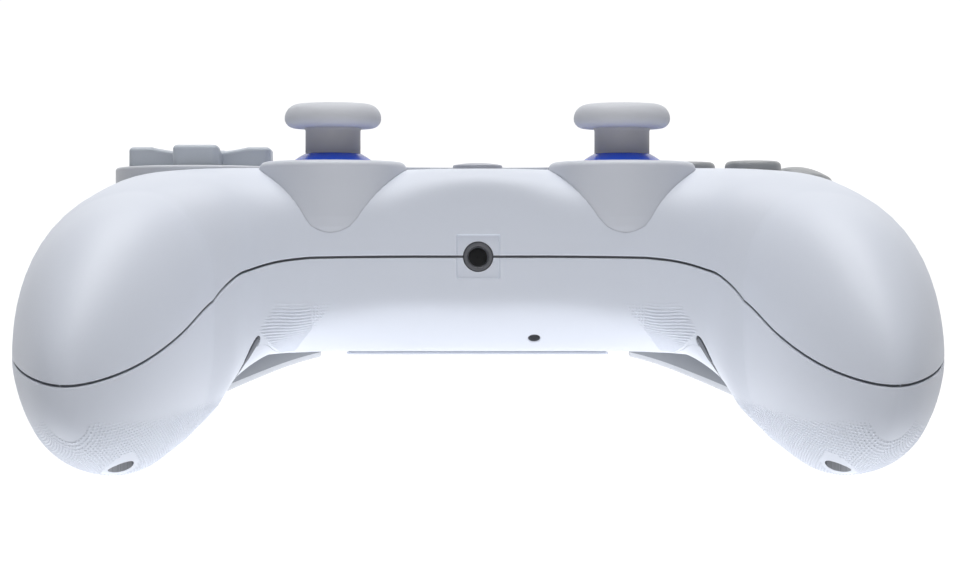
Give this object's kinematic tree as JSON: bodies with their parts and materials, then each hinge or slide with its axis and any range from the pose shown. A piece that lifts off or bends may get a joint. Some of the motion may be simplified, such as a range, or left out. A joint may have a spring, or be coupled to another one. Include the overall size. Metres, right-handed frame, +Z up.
{
  "type": "game controller",
  "caption": "Two-grip wireless game controller with twin thumb sticks, cross pad, face buttons, shoulder buttons, hinged triggers, touch pad and headphone jack.",
  "frame": {"origin": "on the resting surface, under the middle of the bounding box", "axes": "+X to the player's right, +Y away from the player, +Z up, controller resting on its grips and trigger lips"},
  "size_m": [0.1648, 0.1091, 0.0619],
  "materials": {
    "shell": "satin off-white moulding",
    "collar": "satin light grey",
    "pad_plate": "satin grey",
    "light": "frosted light guide",
    "port_metal": "plain",
    "jack": "satin dark grey",
    "screw": "plain",
    "board": "lacquered circuit board",
    "inner_plastic": "plain",
    "cell": "wrapped battery pouch",
    "membrane": "silicone",
    "motor": "plain",
    "steel": "polished",
    "lever_plastic": "plain",
    "stem": "satin grey",
    "cap": "soft grey",
    "skirt": "glossy blue",
    "cross": "satin grey",
    "button": "satin grey",
    "small_button": "satin grey",
    "touch": "fine textured off-white",
    "trigger": "satin grey",
    "back": "satin grey",
    "reset": "plain",
    "weight": "sintered"
  },
  "bodies": {
    "housing": {"upper_shell": "shell", "lower_shell": "shell", "left_stick_bezel": "collar", "right_stick_bezel": "collar", "dpad_plate": "pad_plate", "light_bar": "light", "usb_port": "port_metal", "headphone_jack": "jack", "housing_screws": "screw", "main_board": "board", "inner_frame": "inner_plastic", "battery": "cell", "left_stick_module": "inner_plastic", "right_stick_module": "inner_plastic", "left_button_carrier": "inner_plastic", "right_button_carrier": "inner_plastic", "dpad_membrane": "membrane", "button_membrane": "membrane", "left_rumble_motor": "motor", "right_rumble_motor": "motor", "left_trigger_bracket": "inner_plastic", "right_trigger_bracket": "inner_plastic", "left_trigger_pin": "steel", "right_trigger_pin": "steel", "left_trigger_spring": "steel", "right_trigger_spring": "steel"},
    "left_gimbal": {"left_stick_gimbal": "lever_plastic"},
    "left_lever": {"left_stick_lever": "lever_plastic"},
    "left_stick": {"left_stick_stem": "stem", "left_stick_cap": "cap", "left_stick_dome": "skirt"},
    "right_gimbal": {"right_stick_gimbal": "lever_plastic"},
    "right_lever": {"right_stick_lever": "lever_plastic"},
    "right_stick": {"right_stick_stem": "stem", "right_stick_cap": "cap", "right_stick_dome": "skirt"},
    "dpad_pivot": {"dpad_pivot": "lever_plastic"},
    "dpad": {"dpad": "cross"},
    "near_button": {"near_button": "button"},
    "far_button": {"far_button": "button"},
    "inner_button": {"inner_button": "button"},
    "outer_button": {"outer_button": "button"},
    "home_button": {"home_button": "small_button"},
    "share_button": {"share_button": "small_button"},
    "options_button": {"options_button": "small_button"},
    "touch_pad": {"touch_pad": "touch"},
    "left_shoulder": {"left_shoulder": "trigger"},
    "left_trigger": {"left_trigger": "trigger"},
    "left_back_button": {"left_back_button": "back"},
    "left_rumble_weight": {"left_rumble_weight": "weight"},
    "right_shoulder": {"right_shoulder": "trigger"},
    "right_trigger": {"right_trigger": "trigger"},
    "right_back_button": {"right_back_button": "back"},
    "right_rumble_weight": {"right_rumble_weight": "weight"},
    "reset_plunger": {"reset_plunger": "reset"}
  },
  "joints": [
    {"name": "left_stick_forward", "type": "hinge", "parent": "housing", "child": "left_gimbal", "pos_m": [-0.0265, 0.00292, 0.0413], "axis": [1, 0, 0], "range_deg": [-18, 18], "stiffness_Nm_per_rad": 0.06},
    {"name": "left_stick_sideways", "type": "hinge", "parent": "left_gimbal", "child": "left_lever", "pos_m": [-0.0265, 0.00292, 0.0413], "axis": [0, 0.9938, -0.1114], "range_deg": [-18, 18], "stiffness_Nm_per_rad": 0.06},
    {"name": "left_stick_click", "type": "slide", "parent": "left_lever", "child": "left_stick", "axis": [0, -0.1114, -0.9938], "range_m": [0, 0.0005], "stiffness_N_per_m": 2400, "springref_m": -0.0004},
    {"name": "right_stick_forward", "type": "hinge", "parent": "housing", "child": "right_gimbal", "pos_m": [0.0265, 0.00292, 0.0413], "axis": [1, 0, 0], "range_deg": [-18, 18], "stiffness_Nm_per_rad": 0.06},
    {"name": "right_stick_sideways", "type": "hinge", "parent": "right_gimbal", "child": "right_lever", "pos_m": [0.0265, 0.00292, 0.0413], "axis": [0, 0.9938, -0.1114], "range_deg": [-18, 18], "stiffness_Nm_per_rad": 0.06},
    {"name": "right_stick_click", "type": "slide", "parent": "right_lever", "child": "right_stick", "axis": [0, -0.1114, -0.9938], "range_m": [0, 0.0005], "stiffness_N_per_m": 2400, "springref_m": -0.0004},
    {"name": "dpad_forward", "type": "hinge", "parent": "housing", "child": "dpad_pivot", "pos_m": [-0.05199, 0.01949, 0.04548], "axis": [1, 0, 0], "range_deg": [-6, 6], "stiffness_Nm_per_rad": 0.2},
    {"name": "dpad_sideways", "type": "hinge", "parent": "dpad_pivot", "child": "dpad", "pos_m": [-0.05199, 0.01949, 0.04548], "axis": [0, 0.9938, -0.1114], "range_deg": [-6, 6], "stiffness_Nm_per_rad": 0.2},
    {"name": "near_button_press", "type": "slide", "parent": "housing", "child": "near_button", "axis": [0, -0.1114, -0.9938], "range_m": [0, 0.0012], "stiffness_N_per_m": 500, "springref_m": -0.0006},
    {"name": "far_button_press", "type": "slide", "parent": "housing", "child": "far_button", "axis": [0, -0.1114, -0.9938], "range_m": [0, 0.0012], "stiffness_N_per_m": 500, "springref_m": -0.0006},
    {"name": "inner_button_press", "type": "slide", "parent": "housing", "child": "inner_button", "axis": [0, -0.1114, -0.9938], "range_m": [0, 0.0012], "stiffness_N_per_m": 500, "springref_m": -0.0006},
    {"name": "outer_button_press", "type": "slide", "parent": "housing", "child": "outer_button", "axis": [0, -0.1114, -0.9938], "range_m": [0, 0.0012], "stiffness_N_per_m": 500, "springref_m": -0.0006},
    {"name": "home_button_press", "type": "slide", "parent": "housing", "child": "home_button", "axis": [0, -0.1114, -0.9938], "range_m": [0, 0.0006], "stiffness_N_per_m": 1200, "springref_m": -0.0004},
    {"name": "share_button_press", "type": "slide", "parent": "housing", "child": "share_button", "axis": [0, -0.1114, -0.9938], "range_m": [0, 0.0005], "stiffness_N_per_m": 1200, "springref_m": -0.0004},
    {"name": "options_button_press", "type": "slide", "parent": "housing", "child": "options_button", "axis": [0, -0.1114, -0.9938], "range_m": [0, 0.0005], "stiffness_N_per_m": 1200, "springref_m": -0.0004},
    {"name": "touch_pad_press", "type": "slide", "parent": "housing", "child": "touch_pad", "axis": [0, -0.1114, -0.9938], "range_m": [0, 0.0004], "stiffness_N_per_m": 1200, "springref_m": -0.0004},
    {"name": "left_shoulder_press", "type": "slide", "parent": "housing", "child": "left_shoulder", "axis": [0.309, -0.9451, 0.1059], "range_m": [0, 0.0007], "stiffness_N_per_m": 900, "springref_m": -0.0005},
    {"name": "left_trigger_pull", "type": "hinge", "parent": "housing", "child": "left_trigger", "pos_m": [-0.04345, 0.02981, 0.02621], "axis": [-0.8849, -0.3265, -0.3322], "range_deg": [0, 18], "stiffness_Nm_per_rad": 0.12, "springref_deg": -14.32},
    {"name": "left_back_button_press", "type": "slide", "parent": "housing", "child": "left_back_button", "axis": [-0.6246, 0.2822, 0.7281], "range_m": [0, 0.0006], "stiffness_N_per_m": 1200, "springref_m": -0.0004},
    {"name": "left_rumble_spin", "type": "hinge", "parent": "housing", "child": "left_rumble_weight", "pos_m": [-0.062, -0.0183, 0.02255], "axis": [0, 0.9938, -0.1114], "continuous": true},
    {"name": "right_shoulder_press", "type": "slide", "parent": "housing", "child": "right_shoulder", "axis": [-0.309, -0.9451, 0.1059], "range_m": [0, 0.0007], "stiffness_N_per_m": 900, "springref_m": -0.0005},
    {"name": "right_trigger_pull", "type": "hinge", "parent": "housing", "child": "right_trigger", "pos_m": [0.04345, 0.02981, 0.02621], "axis": [-0.8849, 0.3265, 0.3322], "range_deg": [0, 18], "stiffness_Nm_per_rad": 0.12, "springref_deg": -14.32},
    {"name": "right_back_button_press", "type": "slide", "parent": "housing", "child": "right_back_button", "axis": [0.6246, 0.2822, 0.7281], "range_m": [0, 0.0006], "stiffness_N_per_m": 1200, "springref_m": -0.0004},
    {"name": "right_rumble_spin", "type": "hinge", "parent": "housing", "child": "right_rumble_weight", "pos_m": [0.062, -0.0183, 0.02255], "axis": [0, 0.9938, -0.1114], "continuous": true},
    {"name": "reset_press", "type": "slide", "parent": "housing", "child": "reset_plunger", "axis": [0, 0.6346, 0.7728], "range_m": [0, 0.0004], "stiffness_N_per_m": 1200, "springref_m": -0.0004}
  ]
}
